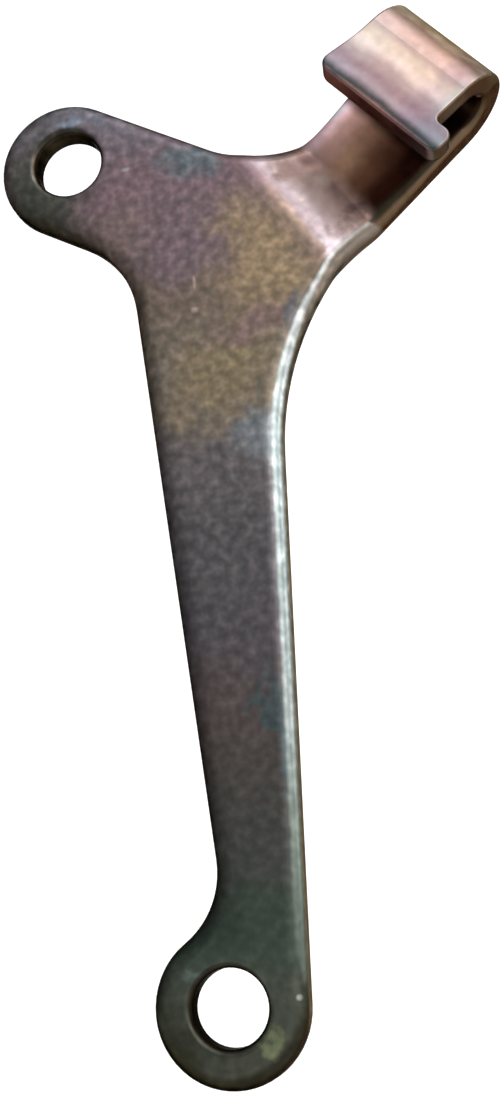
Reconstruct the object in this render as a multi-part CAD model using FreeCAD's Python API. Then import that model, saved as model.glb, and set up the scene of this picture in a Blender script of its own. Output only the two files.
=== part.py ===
import FreeCAD, Part
import math
import os

# Clutch cable bracket: one stamped steel plate with two bolt ears, and an arm that steps
# back and ends in a hook for the cable. Lengths are in millimetres, angles in degrees.
# The blank is laid out flat in x and y, with its mounting face on z = 0 and its front
# face on z = sheet. The finished part is then stood up, with its front towards -Y.
# Angles in the blank's plane run from +X towards +Y. Left and right are as seen from
# the front.

# Sheet, and how far its edges are rounded by the punching. On the arm the plate's wide
# rounding narrows to the hook's, which starts a little before the bend.
sheet = 3.5
plate_roll = 2.2
hook_roll = 1.2
hook_roll_lead = 4.0
back_edge_roll = 0.3
hole_roll = 0.9

# Bolt ears. The lower hole is the origin, and the upper ear lies a little aside of its hole.
bolt_hole_radius = 4.5
ear_radius = 9.15
upper_hole_side = -9.7
upper_hole_height = 109.5
upper_ear_shift = -0.45
upper_ear_angle = -32.5

# Long plate between the ears
left_edge_angle = 92.2
left_edge_offset = 0.57
right_edge_angle = 85.75
lower_ear_blend = 10.2
upper_ear_blend = 12.8

# Arm, from where its centreline leaves the step, which is this far to the side of the lower
# hole and below the upper one, to where the hook's bend begins
arm_root_side = 25.7
arm_root_drop = 9.1
arm_angle = 38.6
arm_width = 15.9
arm_length = 15.3
arm_left_blend = 12.0
arm_right_blend = 38.5

# Step that sets the arm back, with two bends that lie a little askew across the arm
step_skew = 8.0
step_depth = 2.9
step_slope = 20.0
step_bend_radius = 2.5

# Hook: the bend, the flap that comes back over the arm, the tab at the right of the
# flap's free edge, and the flare that takes this edge out to the left past the arm
hook_bend_radius = 3.0
hook_turn = 172.8
flap_length = 9.3
flap_corner = 1.5
tab_length = 3.7
tab_reach = 3.2
flap_flare = 0.9
flap_flare_start = 3.0
flap_flare_blend = 20.0
tab_corner = 1.4
notch_corner = 0.8

# A span well beyond the whole part, for shapes that are cut down afterwards
FAR = 300.0
# Points closer together than this count as one
TOUCH = 1e-5
# Faces that meet at a larger angle than this one, in radians, leave a sharp edge
SHARP = math.radians(20)

UP = FreeCAD.Vector(0, 0, 1)
ORIGIN = FreeCAD.Vector(0, 0, 0)
UPPER_HOLE = FreeCAD.Vector(upper_hole_side, upper_hole_height, 0)
UPPER_EAR = UPPER_HOLE + FreeCAD.Vector(upper_ear_shift, 0, 0)
ARM_ROOT = FreeCAD.Vector(arm_root_side, upper_hole_height - arm_root_drop, 0)


def heading(angle):
    """Direction in the blank's plane at an angle."""
    return FreeCAD.Vector(math.cos(math.radians(angle)), math.sin(math.radians(angle)), 0)


def left_of(direction):
    return FreeCAD.Vector(-direction.y, direction.x, 0)


def crossing(point_a, direction_a, point_b, direction_b):
    """Point where two lines in the blank's plane cross."""
    gap = point_b - point_a
    along = gap.cross(direction_b).z / direction_a.cross(direction_b).z
    return point_a + direction_a * along


def corner_arc(corner, way_in, way_out, radius):
    """Arc that rounds a corner of an outline, from its way in to its way out."""
    turn = way_in.getAngle(way_out)
    setback = radius * math.tan(turn / 2)
    inwards = (way_out - way_in).normalize()
    middle = corner + inwards * (radius / math.cos(turn / 2) - radius)
    return Part.Arc(corner - way_in * setback, middle, corner + way_out * setback)


def closed_face(curves):
    """Face inside a run of curves, with a straight edge wherever two of them don't meet."""
    edges = []
    for index, curve in enumerate(curves):
        edges.append(curve.toShape())
        here = curve.EndPoint
        there = curves[(index + 1) % len(curves)].StartPoint
        if here.distanceToPoint(there) > TOUCH:
            edges.append(Part.makeLine(here, there))
    return Part.Face(Part.Wire(edges))


def step_profile():
    """Front and back of the sheet, seen along the step's bends: two runs of edges."""
    way = heading(arm_angle - step_skew)
    lean = math.radians(step_slope)
    both_bends = 2 * step_bend_radius + sheet
    slope_length = (step_depth - both_bends * (1 - math.cos(lean))) / math.sin(lean)
    reach = both_bends * math.sin(lean) + slope_length * math.cos(lean)
    end = ARM_ROOT.dot(way)
    first_centre = way * (end - reach) - UP * step_bend_radius
    second_centre = way * end + UP * (sheet - step_depth + step_bend_radius)

    def skin(first_radius, second_radius):
        """Edges of one face of the sheet, with its radius in each of the two bends."""
        half = lean / 2
        first = [first_centre + (UP * math.cos(a) + way * math.sin(a)) * first_radius
                 for a in (0, half, lean)]
        second = [second_centre - (UP * math.cos(a) + way * math.sin(a)) * second_radius
                  for a in (lean, half, 0)]
        return [
            Part.makeLine(first[0] - way * FAR, first[0]),
            Part.Arc(*first).toShape(),
            Part.makeLine(first[2], second[0]),
            Part.Arc(*second).toShape(),
            Part.makeLine(second[2], second[2] + way * FAR),
        ]

    front = skin(step_bend_radius + sheet, step_bend_radius)
    back = skin(step_bend_radius, step_bend_radius + sheet)
    return way, front, back


def blank_outline():
    """Outline of plate, ears and arm in the plane, anticlockwise from the right-hand edge."""
    right_way = heading(right_edge_angle)
    right_side = -left_of(right_way)
    arm_way = heading(arm_angle)
    arm_left = left_of(arm_way) * (arm_width / 2)
    arm_end = ARM_ROOT + arm_way * arm_length
    lead_start = arm_end - arm_way * hook_roll_lead
    ear_way = heading(upper_ear_angle)
    ear_top = left_of(ear_way) * ear_radius
    left_way = -heading(left_edge_angle)
    left_point = FreeCAD.Vector(left_edge_offset, 0, 0)

    right_corner = crossing(right_side * ear_radius, right_way, ARM_ROOT - arm_left, arm_way)
    neck_corner = crossing(ARM_ROOT + arm_left, arm_way, UPPER_EAR + ear_top, ear_way)
    left_corner = crossing(UPPER_EAR - ear_top, ear_way, left_point, left_way)

    # The lower ear runs into the left edge through one hollow arc that touches both
    left_side = -left_of(left_way)
    across = left_point.dot(left_side) + lower_ear_blend
    apart = ear_radius + lower_ear_blend
    hollow_centre = left_side * across - left_way * math.sqrt(apart ** 2 - across ** 2)
    ear_top_left = FreeCAD.Vector(hollow_centre).normalize()
    hollow_middle = -(left_side + ear_top_left).normalize()
    ear_foot = -(right_side + ear_top_left).normalize()

    return [
        corner_arc(right_corner, right_way, arm_way, arm_right_blend),
        Part.LineSegment(lead_start - arm_left, arm_end - arm_left),
        Part.LineSegment(arm_end - arm_left, arm_end + arm_left),
        Part.LineSegment(arm_end + arm_left, lead_start + arm_left),
        corner_arc(neck_corner, -arm_way, -ear_way, arm_left_blend),
        Part.Arc(UPPER_EAR + ear_top, UPPER_EAR - ear_way * ear_radius,
                 UPPER_EAR - ear_top),
        corner_arc(left_corner, ear_way, left_way, upper_ear_blend),
        Part.Arc(hollow_centre - left_side * lower_ear_blend,
                 hollow_centre + hollow_middle * lower_ear_blend,
                 hollow_centre - ear_top_left * lower_ear_blend),
        Part.Arc(ear_top_left * ear_radius, ear_foot * ear_radius, right_side * ear_radius),
    ]


def sharp_edges(solid):
    """Edges where two faces meet at an angle, so not the lines where a bend begins."""
    sharp = []
    for edge in solid.Edges:
        middle = edge.discretize(3)[1]
        normals = [face.normalAt(*face.Surface.parameter(middle))
                   for face in solid.ancestorsOfType(edge, Part.Face)]
        if len(normals) == 2 and normals[0].getAngle(normals[1]) > SHARP:
            sharp.append(edge)
    return sharp


def rolled(solid, skin, seam_point, seam_normal, roll_at):
    """Solid with its edges on a skin rounded, apart from those that lie in a seam. roll_at gives
    the radius at a point, and an edge whose two ends differ gets a rounding that narrows evenly."""
    rim = []
    for edge in sharp_edges(solid):
        points = edge.discretize(5)
        if any(Part.Vertex(point).distToShape(skin)[0] > TOUCH for point in points):
            continue
        if any(abs((point - seam_point).dot(seam_normal)) > TOUCH for point in points):
            rim.append(edge)

    bench = FreeCAD.newDocument("bench")
    blank = bench.addObject("Part::Feature", "blank")
    blank.Shape = solid
    rounding = bench.addObject("Part::Fillet", "rounding")
    rounding.Base = blank
    rounding.Edges = [
        (number, roll_at(edge.valueAt(edge.FirstParameter)), roll_at(edge.valueAt(edge.LastParameter)))
        for number, edge in enumerate(solid.Edges, 1)
        if any(edge.isSame(other) for other in rim)
    ]
    bench.recompute()
    rounded = rounding.Shape.Solids[0]
    FreeCAD.closeDocument(bench.Name)
    return rounded


def is_bolt_hole(edge):
    return (edge.Curve.TypeId == "Part::GeomCircle"
            and abs(edge.Curve.Radius - bolt_hole_radius) < TOUCH)


def make_plate():
    """Plate, ears and arm up to the hook, with the step in the arm and the bolt holes."""
    way, front, back = step_profile()
    side = left_of(way)
    outer = front + [Part.makeLine(front[-1].Vertexes[-1].Point, back[-1].Vertexes[-1].Point)]
    inner = back + [Part.makeLine(front[0].Vertexes[0].Point, back[0].Vertexes[0].Point)]
    section = Part.Face(Part.Wire(Part.__sortEdges__(outer + inner)))
    section.translate(side * -FAR)
    stepped_sheet = section.extrude(side * 2 * FAR)
    outline = closed_face(blank_outline())
    outline.translate(UP * -FAR)
    plate = stepped_sheet.common(outline.extrude(UP * 2 * FAR))

    front_wire = Part.Wire(front)
    front_wire.translate(side * -FAR)
    skin = front_wire.extrude(side * 2 * FAR)
    arm_way = heading(arm_angle)
    arm_end = ARM_ROOT + arm_way * arm_length

    def roll_at(point):
        before_hook = (arm_end - point).dot(arm_way)
        return hook_roll if before_hook < hook_roll_lead + TOUCH else plate_roll

    plate = rolled(plate, skin, arm_end, arm_way, roll_at)

    for centre in (ORIGIN, UPPER_HOLE):
        hole = Part.makeCylinder(bolt_hole_radius, 2 * FAR, centre - UP * FAR)
        plate = plate.cut(hole)
    mouths = [edge for edge in plate.Edges
              if is_bolt_hole(edge) and abs(edge.Curve.Center.z - sheet) < TOUCH]
    return plate.makeFillet(hole_roll, mouths)


def make_hook():
    """Bend, flap and tab, made as a straight run of the arm and then turned over it."""
    arm_way = heading(arm_angle)
    right = -left_of(arm_way)
    half = right * (arm_width / 2)
    start = ARM_ROOT + arm_way * arm_length - UP * step_depth
    axis_point = start + UP * (sheet + hook_bend_radius)
    mouth = Part.makePolygon([start - half, start + half, start + half + UP * sheet,
                              start - half + UP * sheet, start - half])
    bend = Part.Face(mouth).revolve(axis_point, right, hook_turn)

    tab = right * tab_reach
    flare = right * flap_flare
    flare_start = start + arm_way * flap_flare_start - half
    end = start + arm_way * flap_length
    notch = start + arm_way * (flap_length - tab_length) + half
    flared_corner = end - half - flare
    flared_way = (flare_start - flared_corner).normalize()
    flap = closed_face([
        Part.LineSegment(start - half, start + half),
        corner_arc(notch, arm_way, right, notch_corner),
        corner_arc(notch + tab, right, arm_way, tab_corner),
        corner_arc(end + half + tab, arm_way, -right, tab_corner),
        corner_arc(flared_corner, -right, flared_way, flap_corner),
        corner_arc(flare_start, flared_way, -arm_way, flap_flare_blend),
    ]).extrude(UP * sheet)
    flap.rotate(axis_point, right, hook_turn)
    hook = bend.fuse(flap).removeSplitter()

    inner_line = Part.makeLine(start - right * FAR + UP * sheet, start + right * FAR + UP * sheet)
    inner_bend = inner_line.revolve(axis_point, right, hook_turn)
    inner_line.rotate(axis_point, right, hook_turn)
    flap_way = FreeCAD.Rotation(right, hook_turn).multVec(arm_way)
    skin = Part.makeCompound([inner_bend, inner_line.extrude(flap_way * FAR)])
    return rolled(hook, skin, start, arm_way, lambda point: hook_roll)


def make_bracket():
    bracket = make_plate().fuse(make_hook()).removeSplitter()
    back_edges = [edge for edge in sharp_edges(bracket) if not is_bolt_hole(edge)]
    bracket = bracket.makeFillet(back_edge_roll, back_edges)
    bracket.rotate(ORIGIN, FreeCAD.Vector(1, 0, 0), 90)
    return bracket


bracket = make_bracket()
os.makedirs("parts", exist_ok=True)
bracket.exportStep("parts/bracket.step")
box = bracket.BoundBox
print("bracket: solids", len(bracket.Solids), "valid", bracket.isValid(),
      "volume mm3", round(bracket.Volume, 1))
print("box x %.2f..%.2f  y %.2f..%.2f  z %.2f..%.2f"
      % (box.XMin, box.XMax, box.YMin, box.YMax, box.ZMin, box.ZMax))
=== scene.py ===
import math

import bpy
from mathutils import Matrix, Vector

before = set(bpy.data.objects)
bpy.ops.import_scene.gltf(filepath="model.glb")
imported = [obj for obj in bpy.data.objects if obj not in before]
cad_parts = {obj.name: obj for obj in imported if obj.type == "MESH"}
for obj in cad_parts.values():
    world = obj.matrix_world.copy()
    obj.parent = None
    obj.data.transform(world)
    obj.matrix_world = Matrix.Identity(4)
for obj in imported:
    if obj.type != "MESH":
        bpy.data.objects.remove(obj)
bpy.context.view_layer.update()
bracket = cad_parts["bracket"]

# The film is laid out in millimetres, in the bracket's own frame: the lower bolt hole is the
# origin, -Y points out of the front face, +Z runs up the plate and +X is the hook's side.
MM = 0.001

# Centres of the bolt holes, in X and Z, and their radius
BOLT_HOLES = ((0.0, 0.0), (-9.7, 109.5))
BOLT_HOLE_RADIUS = 4.5

# Where the arm starts, and the ways out along the arm, down the step and across the arm
ARM_ROOT = Vector((23.9, 0.0, 99.0))
ARM_HEADING = math.radians(38.6)
STEP_HEADING = math.radians(30.6)
OUTWARD, DOWN_STEP, LEFTWARD = [
    Vector((math.cos(angle), 0, math.sin(angle)))
    for angle in (ARM_HEADING, STEP_HEADING, ARM_HEADING + math.pi / 2)]

# What lies further forward than the plate is the hook's flap. It starts between these in Y.
BEFORE_FLAP = -4.2
ON_FLAP = -5.2

# The middle of the bracket, where the lamps point, and the way from there to the main lamp
MIDDLE = Vector((0.012, 0.0, 0.06))
TO_MAIN_LAMP = Vector((0.62, -0.60, 0.50))


def from_hex(text):
    """An sRGB hex colour as the linear one that Blender's sockets take."""
    parts = [int(text[i:i + 2], 16) / 255 for i in (1, 3, 5)]
    return [p / 12.92 if p <= 0.04045 else ((p + 0.055) / 1.055) ** 2.4 for p in parts] + [1.0]


def add_node(tree, kind, settings=None, **inputs):
    """Adds a node. Settings are the node's own values. Each input is a value, or an output to
    link: _0 is the input with that number, and Base_Color is the one with that name."""
    node = tree.nodes.new(kind)
    for name, value in (settings or {}).items():
        setattr(node, name, value)
    for name, value in inputs.items():
        socket = node.inputs[int(name[1:]) if name[1:].isdigit() else name.replace("_", " ")]
        if isinstance(value, bpy.types.NodeSocket):
            tree.links.new(value, socket)
        else:
            socket.default_value = value
    return node


def colour_bands(tree, along, bands):
    """Colours that change along a value. Each band is the value and its hex colour, in order."""
    start, end = bands[0][0], bands[-1][0]
    share = add_node(tree, "ShaderNodeMapRange", Value=along, From_Min=start, From_Max=end)
    ramp = add_node(tree, "ShaderNodeValToRGB", Fac=share.outputs[0])
    ramp.color_ramp.interpolation = "EASE"
    points = ramp.color_ramp.elements
    points[0].color = from_hex(bands[0][1])
    points[1].color = from_hex(bands[-1][1])
    for value, colour in bands[1:-1]:
        points.new((value - start) / (end - start)).color = from_hex(colour)
    return ramp.outputs[0]


def lay_colour(tree, under, over, value, start, end, most=1.0):
    """Lays one colour over another, more and more of it as a value goes from start to end. It lays
    both film colours and painted light.
    """
    cover = add_node(tree, "ShaderNodeMapRange", {"interpolation_type": "SMOOTHSTEP"},
                     Value=value, From_Min=start, From_Max=end, To_Max=most).outputs[0]
    return add_node(tree, "ShaderNodeMix", {"data_type": "RGBA"},
                    _0=cover, _6=under, _7=over).outputs[2]


def colour_patch(tree, under, place, colour, centre, reach, fade=0.7):
    """A patch of another colour through the whole sheet: thinner or thicker film, a nick, a painted
    glint or painted shade. Its centre and its reach are in X and Z, and its border fades over this
    share of the reach, inwards and outwards."""
    offset = add_node(tree, "ShaderNodeVectorMath", {"operation": "SUBTRACT"},
                      _0=place, _1=(centre[0], 0, centre[1])).outputs[0]
    share = add_node(tree, "ShaderNodeVectorMath", {"operation": "MULTIPLY"},
                     _0=offset, _1=(1 / reach[0], 0, 1 / reach[1])).outputs[0]
    distance = add_node(tree, "ShaderNodeVectorMath", {"operation": "LENGTH"}, _0=share)
    return lay_colour(tree, under, from_hex(colour), distance.outputs["Value"],
                    start=1 + fade, end=1 - fade)


class FilmLayout:
    """Where a point of the bracket's surface lies and which way it faces. What is called pulled
    or drawn has noise in it, so that no border in the film is a plain line or oval."""

    def __init__(self, tree):
        surface = add_node(tree, "ShaderNodeTexCoord").outputs
        self.normal = surface["Normal"]
        self.facing = add_node(tree, "ShaderNodeSeparateXYZ", _0=self.normal).outputs
        self.place = add_node(tree, "ShaderNodeVectorMath", {"operation": "SCALE"},
                              _0=surface["Object"], Scale=1 / MM).outputs[0]
        self.axes = add_node(tree, "ShaderNodeSeparateXYZ", _0=self.place).outputs
        self.pull_about(tree)
        self.measure_arm(tree)

    def pull_about(self, tree):
        """Moves places about by clouds some 6 mm wide and by shreds a quarter of that."""
        cloud_width, cloud_pull = 5.882, 9.0
        shred_width, shred_pull = 1.4286, 4.0
        clouds = add_node(tree, "ShaderNodeTexNoise",
                          Vector=self.place, Scale=1 / cloud_width, Detail=1.0)
        shreds = add_node(tree, "ShaderNodeTexNoise",
                          Vector=self.place, Scale=1 / shred_width, Detail=2.0)
        pulled = self.place
        for noise, pull in ((clouds, cloud_pull), (shreds, shred_pull)):
            pulled = add_node(tree, "ShaderNodeVectorMath", {"operation": "MULTIPLY_ADD"},
                              _0=noise.outputs["Color"], _1=[pull] * 3, _2=pulled).outputs[0]
        mean_pull = (cloud_pull + shred_pull) / 2
        self.pulled = add_node(tree, "ShaderNodeVectorMath", {"operation": "SUBTRACT"},
                               _0=pulled, _1=[mean_pull] * 3).outputs[0]
        self.shreds = shreds.outputs[0]

    def measure_arm(self, tree):
        """Distances from the arm's root: out along the arm, down the step and across the arm.
        The drawn ones take a small share of the pull."""
        drawn = add_node(tree, "ShaderNodeMix", {"data_type": "VECTOR"},
                         _0=0.15, _4=self.place, _5=self.pulled).outputs[1]
        from_root, drawn_from_root = [
            add_node(tree, "ShaderNodeVectorMath", {"operation": "SUBTRACT"},
                     _0=spot, _1=ARM_ROOT).outputs[0]
            for spot in (self.place, drawn)]
        self.reached, self.drawn_reach, self.drawn_step, self.drawn_left = [
            add_node(tree, "ShaderNodeVectorMath", {"operation": "DOT_PRODUCT"},
                     _0=offset, _1=way).outputs["Value"]
            for offset, way in ((from_root, OUTWARD), (drawn_from_root, OUTWARD),
                                (drawn_from_root, DOWN_STEP), (drawn_from_root, LEFTWARD))]


def lay_plate_film_and_painted_light(tree, at):
    """The film runs from dark green at the foot, through violet grey, to olive gold, and its
    darkening towards the foot is partly painted shade. It has clouds in it, painted glints, painted
    shade at the foot's lower left, and light nicks where something struck the plate."""
    height = add_node(tree, "ShaderNodeSeparateXYZ", _0=at.pulled).outputs["Z"]
    # Bands by height: the film's own colours, darker towards the foot partly as painted shade
    film = colour_bands(tree, height, [
        (-10, "#404139"), (0, "#43473f"), (9, "#3c463e"), (17, "#454643"), (26, "#4d4947"),
        (35, "#584f4e"), (44, "#585458"), (54, "#5d5a5c"), (64, "#686365"), (76, "#7b7268"),
        (90, "#796b60"), (104, "#826d74"), (120, "#7b7b83")])
    clouds = (
        (at.pulled, "#99856c", (15.5, 91.5), (6.5, 7.5)),
        (at.pulled, "#897b64", (7.5, 75.5), (6.5, 5.5)),
        (at.pulled, "#7b6b71", (5.0, 96.5), (5.0, 6.5)),
        (at.pulled, "#84706a", (13.5, 81.5), (5.5, 2.6)),
        (at.pulled, "#687176", (9.5, 107.0), (6.5, 2.0)),
        (at.pulled, "#6e6c6d", (18.9, 82.5), (1.2, 5.0)),
        (at.pulled, "#7c8083", (11.5, 67.0), (3.0, 2.5)),
        (at.pulled, "#4d4e48", (-13.5, 105.5), (6.5, 8.5)),
        # A painted glint above the upper bolt hole
        (at.pulled, "#929aab", (-7.5, 114.3), (2.4, 1.0)),
        (at.place, "#4a5153", (9.7, 34.5), (0.9, 3.0)),
        (at.pulled, "#465052", (9.5, 30.0), (0.8, 9.0)),
        # A painted olive glint below and right of the lower bolt hole
        (at.pulled, "#62684f", (3.4, -4.0), (1.6, 1.0)),
        # A painted teal glint above and left of the lower bolt hole
        (at.pulled, "#56635d", (-2.4, 3.8), (2.2, 1.2)),
        # Painted shade at the foot's lower left
        (at.pulled, "#2a2a20", (-7.4, -4.4), (4.0, 4.8)))
    nicks = (
        (at.place, "#a9968f", (5.6, 89.0), (0.2, 0.8)),
        (at.place, "#b8a298", (5.2, 85.2), (0.4, 0.35)),
        (at.place, "#999aa0", (-1.8, 106.7), (0.5, 0.25)),
        (at.place, "#949a8f", (8.2, 0.4), (0.3, 0.3)))
    for where, colour, centre, reach in clouds + nicks:
        film = colour_patch(tree, film, where, colour, centre, reach)
    return film


def paint_shade_on_left_edge(tree, at, film):
    """Painted shade: between the ears the colour is darker for some 4 mm in from the plate's left
    edge.
    """
    edge_lean = 0.038
    middle_height, half_height = 50.0, 40.0
    from_middle = add_node(tree, "ShaderNodeMath", {"operation": "SUBTRACT"},
                           _0=at.axes["Z"], _1=middle_height).outputs[0]
    past_middle = add_node(tree, "ShaderNodeMath", {"operation": "ABSOLUTE"},
                           _0=from_middle).outputs[0]
    past_ends = add_node(tree, "ShaderNodeMath", {"operation": "SUBTRACT"},
                         _0=past_middle, _1=half_height).outputs[0]
    from_left = add_node(tree, "ShaderNodeMath", {"operation": "MULTIPLY_ADD"},
                         _0=at.axes["Z"], _1=edge_lean, _2=at.axes["X"]).outputs[0]
    from_left = add_node(tree, "ShaderNodeMath", {"operation": "MAXIMUM"},
                         _0=from_left, _1=past_ends).outputs[0]
    # Painted shade near the plate's left edge
    shade = add_node(tree, "ShaderNodeMapRange", {"interpolation_type": "SMOOTHSTEP"},
                     Value=from_left, From_Min=1.0, From_Max=5.0, To_Min=0.7, To_Max=1.0)
    return add_node(tree, "ShaderNodeVectorMath", {"operation": "SCALE"},
                    _0=film, Scale=shade.outputs[0]).outputs[0]


def paint_step_with_highlight(tree, at, film):
    """The step's colour holds a painted highlight across its bends, a darker band just before them,
    and brown and light spots.
    """
    film = lay_colour(tree, film, from_hex("#766363"), at.drawn_step, start=-10.0, end=-6.0, most=0.5)
    # Bands down the step, lighter across its bends as a painted highlight
    step_bands_and_highlight = colour_bands(tree, at.drawn_step, [
        (-6, "#7b6f79"), (-3.5, "#908385"), (-2, "#7d6e6c"), (1, "#866f68")])
    film = lay_colour(tree, film, step_bands_and_highlight, at.drawn_step, start=-5.8, end=-4.2)
    for where, colour, centre, reach in (
            (at.pulled, "#685753", (19.8, 102.2), (3.2, 2.8)),
            (at.pulled, "#665552", (27.2, 94.9), (1.2, 1.4)),
            (at.place, "#94847c", (23.6, 100.7), (1.0, 0.9)),
            (at.pulled, "#a09498", (25.0, 91.5), (1.4, 1.4)),
            (at.place, "#a39289", (20.6, 97.9), (0.3, 0.25))):
        film = colour_patch(tree, film, where, colour, centre, reach)
    return film


def paint_arm_with_shade(tree, at, film):
    """Painted light and shade on the arm's front: it goes from nearly black on the right, painted
    shade and the flap's painted reflection, to pink on the left, a painted highlight, and it is
    painted lighter towards the flap. Inside the bend it is dark, which is painted shade, and a spot
    at the arm's left root is dark too."""
    # Across the arm: painted shade and reflection on the right, a pink painted highlight on the left
    arm_bands_and_shade = colour_bands(tree, at.drawn_left, [
        (-8, "#150704"), (-5, "#381c14"), (-2, "#714d3b"), (1.5, "#af8971"), (4.5, "#b48e85"),
        (8, "#fbdbe9")])
    # Painted light, stronger towards the flap
    lighter = add_node(tree, "ShaderNodeMapRange",
                       Value=at.reached, From_Min=3.5, From_Max=10.0, To_Min=0.66, To_Max=1.6)
    arm_bands_and_shade = add_node(tree, "ShaderNodeVectorMath", {"operation": "SCALE"},
                        _0=arm_bands_and_shade, Scale=lighter.outputs[0]).outputs[0]
    # Painted shade inside the bend
    bend_painted_shade = from_hex("#22160f")
    front = add_node(tree, "ShaderNodeMapRange",
                     Value=at.facing["Y"], From_Min=0.2, From_Max=-0.2).outputs[0]
    for over, distance, start, end in ((arm_bands_and_shade, at.drawn_step, 0.8, 3.6),
                                       (bend_painted_shade, at.reached, 9.8, 12.0)):
        on_front = add_node(tree, "ShaderNodeMath", {"operation": "MULTIPLY"},
                            _0=distance, _1=front).outputs[0]
        film = lay_colour(tree, film, over, on_front, start=start, end=end)
    return colour_patch(tree, film, at.place, "#5a4644", centre=(21.9, 104.1), reach=(1.2, 1.0))


def paint_flap_with_shade(tree, at, film):
    """The flap's colour lies in stripes along the bend: grey, pink, cream, pink again and olive. The
    bright cream and pink stripes are partly painted highlights, and the darkening of all of them
    towards the tab is painted shade."""
    # Stripes along the bend; the cream and pink ones are partly painted highlights
    stripes = colour_bands(tree, at.drawn_reach, [
        (8.5, "#84574a"), (9.2, "#8a6963"), (9.8, "#454545"), (11, "#9d8c91"), (12.3, "#927a7d"),
        (13.8, "#a5908c"), (15.3, "#cdb8ad"), (16.8, "#c2ae9d"), (18.2, "#ab948b"),
        (19.8, "#a48980"), (21.3, "#937a6b"), (22.5, "#cbb79e"), (24, "#b69a6e")])
    # Painted shade, darker towards the tab
    side_shade = colour_bands(tree, at.drawn_left, [
        (-12, "#b6d1d1"), (-8.5, "#bccdd7"), (-5.5, "#cbc9d3"), (-2.5, "#e1dede"), (2, "#e3e2e3"),
        (7, "#e8f0f7")])
    flap_stripes_and_shade = add_node(tree, "ShaderNodeVectorMath", {"operation": "MULTIPLY"},
                         _0=stripes, _1=side_shade).outputs[0]
    return lay_colour(tree, film, flap_stripes_and_shade, at.axes["Y"], start=BEFORE_FLAP, end=ON_FLAP)


def paint_shade_on_undersides(tree, at, film):
    """Edges that look down, but not the hook's, get the darkest colour, which is painted shade."""
    downward = add_node(tree, "ShaderNodeVectorMath", {"operation": "DOT_PRODUCT"},
                        _0=at.normal, _1=(0.3, 0, -1)).outputs["Value"]
    for distance, start, end in ((at.reached, 18.0, 16.0), (at.axes["Y"], ON_FLAP, BEFORE_FLAP)):
        off_hook = add_node(tree, "ShaderNodeMapRange",
                            Value=distance, From_Min=start, From_Max=end).outputs[0]
        downward = add_node(tree, "ShaderNodeMath", {"operation": "MULTIPLY"},
                            _0=downward, _1=off_hook).outputs[0]
    # Painted shade on the edges that look down
    return lay_colour(tree, film, from_hex("#25221a"), downward, start=0.0, end=0.5, most=0.9)


def paint_highlight_on_right_edge(tree, at, film):
    """A painted highlight along the plate's right edge, weaker towards the foot. The bright line has
    a ragged border and gets narrower where it nears the arm."""
    edge_lean = -0.074
    # Colours of the painted highlight, dimmer towards the foot
    highlight_colours = colour_bands(tree, at.axes["Z"], [
        (5, "#525a52"), (20, "#6d766f"), (33, "#8a9290"), (46, "#949d9c"), (62, "#9ba5a4"),
        (90, "#adb0ae")])
    highlight_share = add_node(tree, "ShaderNodeVectorMath", {"operation": "DOT_PRODUCT"},
                      _0=at.normal, _1=(0.93, 0, -0.37)).outputs["Value"]
    highlight_share = add_node(tree, "ShaderNodeMath", {"operation": "MULTIPLY_ADD"},
                      _0=at.shreds, _1=0.15, _2=highlight_share).outputs[0]
    rightward = add_node(tree, "ShaderNodeMath", {"operation": "MULTIPLY_ADD"},
                         _0=at.axes["Z"], _1=edge_lean, _2=at.axes["X"]).outputs[0]
    for distance, start, end in ((rightward, 4.0, 6.0), (at.reached, 3.0, 0.5),
                                 (at.axes["Z"], -4.0, 6.0)):
        within = add_node(tree, "ShaderNodeMapRange",
                          Value=distance, From_Min=start, From_Max=end).outputs[0]
        highlight_share = add_node(tree, "ShaderNodeMath", {"operation": "MULTIPLY"},
                          _0=highlight_share, _1=within).outputs[0]
    narrower = add_node(tree, "ShaderNodeMapRange",
                        Value=at.reached, From_Min=-7.0, From_Max=-2.0, To_Max=0.12).outputs[0]
    highlight_share = add_node(tree, "ShaderNodeMath", {"operation": "SUBTRACT"},
                      _0=highlight_share, _1=narrower).outputs[0]
    return lay_colour(tree, film, highlight_colours, highlight_share, start=0.41, end=0.7)


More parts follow.
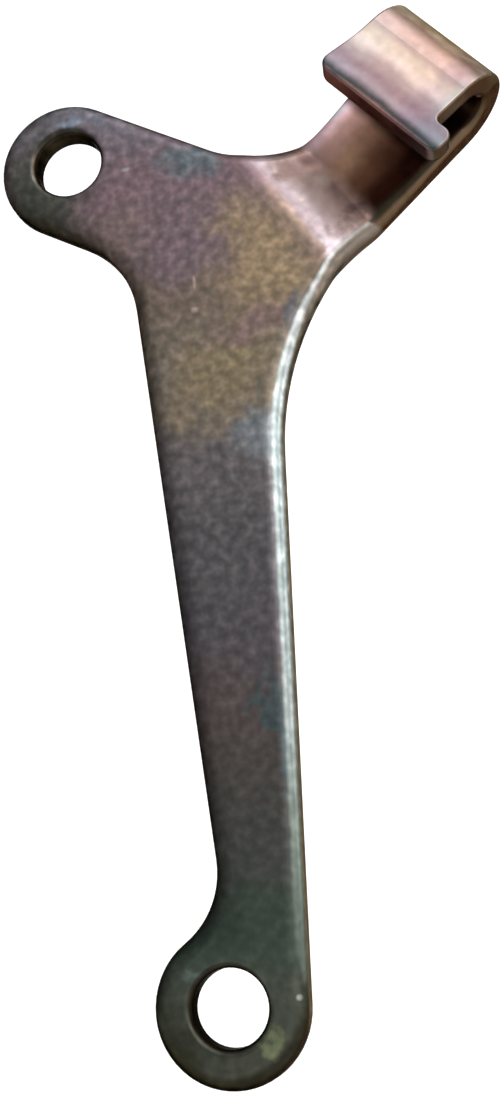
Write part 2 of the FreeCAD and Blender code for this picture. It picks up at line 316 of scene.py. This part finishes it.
def paint_walls_with_shade_and_reflection(tree, at, film):
    """The sheared walls are brown, partly their own colour and partly painted shade, and lighter
    where they look straight left or right, which is a painted reflection of the pale backdrop. On
    the plate a wall is what looks neither forward nor back. Round the bend and on the flap only the
    sheet's two sides are walls, so there the test is how far a face looks across the arm."""
    forward = add_node(tree, "ShaderNodeMath", {"operation": "ABSOLUTE"},
                       _0=at.facing["Y"]).outputs[0]
    plate_wall = add_node(tree, "ShaderNodeMath", {"operation": "SUBTRACT"},
                          _0=1.0, _1=forward).outputs[0]
    across = add_node(tree, "ShaderNodeVectorMath", {"operation": "DOT_PRODUCT"},
                      _0=at.normal, _1=LEFTWARD).outputs["Value"]
    hook_wall = add_node(tree, "ShaderNodeMath", {"operation": "ABSOLUTE"}, _0=across).outputs[0]
    on_bend, on_flap = [
        add_node(tree, "ShaderNodeMapRange", Value=distance, From_Min=start, From_Max=end).outputs[0]
        for distance, start, end in ((at.reached, 12.0, 14.0), (at.axes["Y"], BEFORE_FLAP, ON_FLAP))]
    on_hook = add_node(tree, "ShaderNodeMath", {"operation": "MAXIMUM"},
                       _0=on_bend, _1=on_flap).outputs[0]
    wall = add_node(tree, "ShaderNodeMix", {"data_type": "FLOAT"},
                    _0=on_hook, _2=plate_wall, _3=hook_wall).outputs[0]

    # From the blend below the arm upwards, the walls' colour starts sooner on the rounding of edges
    # that look right; there it is painted shade beside the painted highlight
    at_blend = add_node(tree, "ShaderNodeMapRange",
                        Value=at.axes["Z"], From_Min=76.0, From_Max=88.0, To_Max=0.8).outputs[0]
    wall = add_node(tree, "ShaderNodeMath", {"operation": "MULTIPLY_ADD"},
                    _0=at_blend, _1=at.facing["X"], _2=wall).outputs[0]
    # Wall colours, lighter where they look straight left or right as a painted reflection of the
    # pale backdrop
    wall_bands_and_reflection = colour_bands(tree, at.facing["X"], [
        (-1, "#857c68"), (0, "#453e2f"), (0.6, "#5c4a3a"), (0.9, "#574b3c"), (1, "#857b68")])
    return lay_colour(tree, film, wall_bands_and_reflection, wall, start=0.45, end=0.85, most=0.85)


def paint_shade_in_bolt_holes(tree, at, film):
    """The bolt holes' walls are painted dark, which is painted shade in the holes; it ends on the
    rounding round each of them.
    """
    reach = BOLT_HOLE_RADIUS + 0.35
    for centre in BOLT_HOLES:
        # Painted shade in each hole
        film = colour_patch(tree, film, at.place, "#2c2821", centre, (reach, reach), fade=0.05)
    return film


def speckle_film(tree, at, film, grit):
    """The grit shows through as grey speckle with a trace of colour in it. It is fainter at the
    foot, where the film is thick, and faintest on the arm and the hook."""
    speckle = add_node(tree, "ShaderNodeMix", {"data_type": "RGBA"},
                       _0=0.06, _6=grit.outputs[0], _7=grit.outputs["Color"]).outputs[2]
    speckle = add_node(tree, "ShaderNodeVectorMath", {"operation": "MULTIPLY"},
                       _0=speckle, _1=speckle).outputs[0]
    speckle = add_node(tree, "ShaderNodeVectorMath", {"operation": "MULTIPLY_ADD"},
                       _0=speckle, _1=[1.6] * 3, _2=[0.58] * 3).outputs[0]
    smooth_arm = add_node(tree, "ShaderNodeMapRange",
                          Value=at.reached, From_Min=-8.0, From_Max=-3.0, To_Max=0.75).outputs[0]
    smooth_foot = add_node(tree, "ShaderNodeMapRange",
                           Value=at.axes["Z"], From_Min=60.0, From_Max=10.0, To_Max=0.45).outputs[0]
    smooth = add_node(tree, "ShaderNodeMath", {"operation": "MAXIMUM"},
                      _0=smooth_arm, _1=smooth_foot).outputs[0]
    speckle = add_node(tree, "ShaderNodeMix", {"data_type": "VECTOR"},
                       _0=smooth, _4=speckle, _5=(1, 1, 1)).outputs[1]
    return add_node(tree, "ShaderNodeVectorMath", {"operation": "MULTIPLY"},
                    _0=film, _1=speckle).outputs[0]


def yellow_passivated_zinc():
    """Rolled steel, zinc plated and dipped in yellow chromate. The clear film tints the satin metal
    olive, gold, violet and teal in soft clouds. Painted shade, painted highlights and painted
    reflections are laid into the same base colour."""
    material = bpy.data.materials.new("yellow_passivated_zinc")
    material.use_nodes = True
    tree = material.node_tree
    tree.nodes.clear()
    at = FilmLayout(tree)
    # The base colour holds the film's own colours together with painted shade, painted highlights
    # and painted reflections
    film = lay_plate_film_and_painted_light(tree, at)
    film = paint_shade_on_left_edge(tree, at, film)
    film = paint_step_with_highlight(tree, at, film)
    film = paint_arm_with_shade(tree, at, film)
    film = paint_flap_with_shade(tree, at, film)
    film = paint_shade_on_undersides(tree, at, film)
    film = paint_highlight_on_right_edge(tree, at, film)
    film = paint_walls_with_shade_and_reflection(tree, at, film)
    film = paint_shade_in_bolt_holes(tree, at, film)

    # The sheet's real grit is too fine to show, so it is drawn a little over a millimetre wide
    grit_width, grit_depth = 1.1765, 0.02
    grit = add_node(tree, "ShaderNodeTexNoise",
                    Vector=at.place, Scale=1 / grit_width, Detail=1.0, Roughness=0.4)
    film = speckle_film(tree, at, film, grit)
    dents = add_node(tree, "ShaderNodeBump",
                     Strength=0.15, Distance=grit_depth * MM, Height=grit.outputs[0])

    # Worn plating has a satin gloss that varies in shreds, and its film dulls the glancing light
    gloss = add_node(tree, "ShaderNodeMapRange", Value=at.shreds,
                     From_Min=0.25, From_Max=0.75, To_Min=0.34, To_Max=0.46).outputs[0]
    shader = add_node(tree, "ShaderNodeBsdfPrincipled", Base_Color=film, Metallic=1.0,
                      Roughness=gloss, Specular_Tint=from_hex("#6b6352"), Normal=dents.outputs[0])
    add_node(tree, "ShaderNodeOutputMaterial", Surface=shader.outputs[0])
    return material


def matt_white_board():
    """Matt board. It looks white to the camera and in what mirrors it, and still takes a shadow."""
    material = bpy.data.materials.new("matt_white_board")
    material.use_nodes = True
    tree = material.node_tree
    tree.nodes.clear()
    paths = add_node(tree, "ShaderNodeLightPath").outputs
    seen = add_node(tree, "ShaderNodeMath", {"operation": "MAXIMUM"},
                    _0=paths["Is Camera Ray"], _1=paths["Is Glossy Ray"]).outputs[0]
    seen = add_node(tree, "ShaderNodeMath", {"operation": "MAXIMUM"},
                    _0=seen, _1=paths["Is Transmission Ray"]).outputs[0]
    lift = add_node(tree, "ShaderNodeMath", {"operation": "MULTIPLY"}, _0=seen, _1=0.5).outputs[0]
    matt = add_node(tree, "ShaderNodeBsdfDiffuse", Color=from_hex("#e8e8e8"))
    glow = add_node(tree, "ShaderNodeEmission", Color=from_hex("#ffffff"), Strength=lift)
    both = add_node(tree, "ShaderNodeAddShader", _0=matt.outputs[0], _1=glow.outputs[0])
    add_node(tree, "ShaderNodeOutputMaterial", Surface=both.outputs[0])
    return material


def stand_backdrop():
    """A pale floor some 20 mm under the foot, which curves up into a wall behind."""
    half_width, drop = 0.9, 0.03
    front_edge, curve_start, wall_top = -0.6, 0.35, 1.1
    curve_radius, curve_steps = 0.25, 8
    profile = [(front_edge, 0.0), (curve_start, 0.0)]
    for step in range(1, curve_steps + 1):
        angle = math.radians(90 * step / curve_steps)
        profile.append((curve_start + curve_radius * math.sin(angle),
                        curve_radius - curve_radius * math.cos(angle)))
    profile.append((curve_start + curve_radius, wall_top))
    points = [(x, y, z - drop) for y, z in profile for x in (-half_width, half_width)]
    faces = [(2 * i, 2 * i + 1, 2 * i + 3, 2 * i + 2) for i in range(len(profile) - 1)]
    mesh = bpy.data.meshes.new("floor")
    mesh.from_pydata(points, [], faces)
    mesh.materials.append(matt_white_board())
    for polygon in mesh.polygons:
        polygon.use_smooth = True
    floor = bpy.data.objects.new("floor", mesh)
    bpy.context.scene.collection.objects.link(floor)


def hang_softbox(name, direction, distance, width, height, power):
    """A soft rectangular lamp aimed at the middle of the bracket."""
    lamp_data = bpy.data.lights.new(name, "AREA")
    lamp_data.shape = "RECTANGLE"
    lamp_data.size = width
    lamp_data.size_y = height
    lamp_data.energy = power
    lamp = bpy.data.objects.new(name, lamp_data)
    bpy.context.scene.collection.objects.link(lamp)
    away = direction.normalized()
    turn = away.to_track_quat("Z", "Y").to_matrix().to_4x4()
    lamp.matrix_world = Matrix.Translation(MIDDLE + away * distance) @ turn
    lamp.visible_camera = False


def light_room():
    """The room's own light: dim behind and at the left, and brighter towards the main lamp."""
    world = bpy.data.worlds.new("studio")
    bpy.context.scene.world = world
    world.use_nodes = True
    tree = world.node_tree
    tree.nodes.clear()
    sky = add_node(tree, "ShaderNodeTexCoord").outputs["Generated"]
    toward = add_node(tree, "ShaderNodeVectorMath", {"operation": "DOT_PRODUCT"},
                      _0=sky, _1=TO_MAIN_LAMP.normalized()).outputs["Value"]
    level = add_node(tree, "ShaderNodeMapRange", Value=toward,
                     From_Min=-0.3, From_Max=1.0, To_Min=0.3, To_Max=0.87).outputs[0]
    light = add_node(tree, "ShaderNodeBackground", Color=from_hex("#ffffff"), Strength=level)
    add_node(tree, "ShaderNodeOutputWorld", Surface=light.outputs[0])


def set_camera():
    """The photograph's viewpoint, worked out from its own perspective: 176 mm in front of the
    mounting face, and to the right of the lower hole."""
    position = Vector((38.71, -176.09, 8.27)) * MM
    right = Vector((0.97331, 0.19894, -0.11437)).normalized()
    back = Vector((0.16599, -0.95451, -0.24769)).normalized()
    rotation = Matrix((right, back.cross(right), back)).transposed().to_4x4()
    camera_data = bpy.data.cameras.new("camera")
    camera_data.sensor_width = 36.0
    camera_data.lens = 48.7625
    camera_data.clip_start = 0.01
    camera = bpy.data.objects.new("camera", camera_data)
    bpy.context.scene.collection.objects.link(camera)
    camera.matrix_world = Matrix.Translation(position) @ rotation
    bpy.context.scene.camera = camera


bracket.data.materials.clear()
bracket.data.materials.append(yellow_passivated_zinc())
for polygon in bracket.data.polygons:
    polygon.use_smooth = True

stand_backdrop()
hang_softbox("softbox_right", TO_MAIN_LAMP, distance=0.45, width=0.35, height=0.50, power=2.4)
hang_softbox("softbox_edge", Vector((0.95, 0.15, 0.28)),
             distance=0.45, width=0.10, height=0.50, power=0.6)
light_room()
set_camera()
bpy.context.scene.view_settings.view_transform = "Standard"
